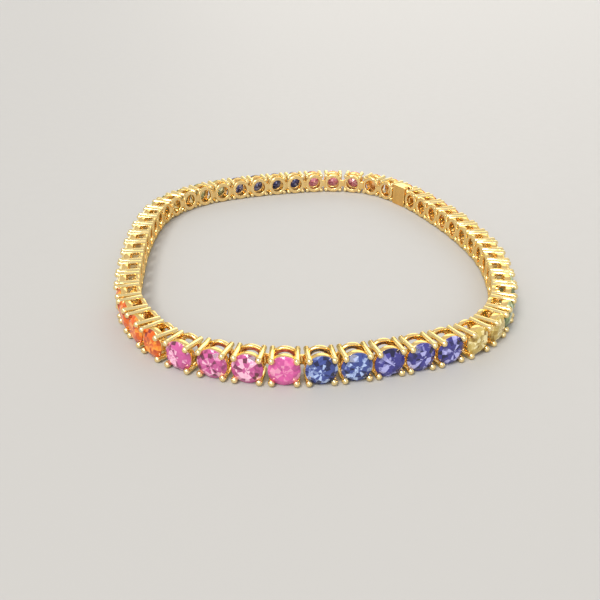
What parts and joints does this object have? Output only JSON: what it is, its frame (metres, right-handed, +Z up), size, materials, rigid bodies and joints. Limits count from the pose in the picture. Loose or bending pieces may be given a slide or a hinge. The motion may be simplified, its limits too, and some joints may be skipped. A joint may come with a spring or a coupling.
{
  "type": "tennis bracelet",
  "caption": "Closed flexible line bracelet of round faceted stones in four-prong gold settings joined by short tabs, with a box clasp and a spring tongue.",
  "frame": {"origin": "on the surface that the bracelet rests on, under the middle of its loop's bounding box", "axes": "the bracelet lies on its edge with its stones facing outwards: +Z up, +Y from the front stones to the clasp side along the loop's long extent, +X to the right; the clasp is at the back right"},
  "size_m": [0.0542, 0.0688, 0.0034],
  "materials": {
    "yellow_gold": "polished yellow gold",
    "hot_pink_stone": "polished faceted gemstone",
    "cornflower_blue_stone": "polished faceted gemstone",
    "royal_blue_stone": "polished faceted gemstone",
    "olive_yellow_stone": "polished faceted gemstone",
    "leaf_green_stone": "polished faceted gemstone",
    "straw_yellow_stone": "polished faceted gemstone",
    "amber_stone": "polished faceted gemstone",
    "soft_pink_stone": "polished faceted gemstone",
    "ink_blue_stone": "polished faceted gemstone",
    "orange_red_stone": "polished faceted gemstone",
    "magenta_stone": "polished faceted gemstone"
  },
  "bodies": {
    "root": {"stone_line_right": "yellow_gold", "stone_line_left": "yellow_gold", "clasp_box": "yellow_gold", "clasp_tongue": "yellow_gold"}
  },
  "joints": []
}
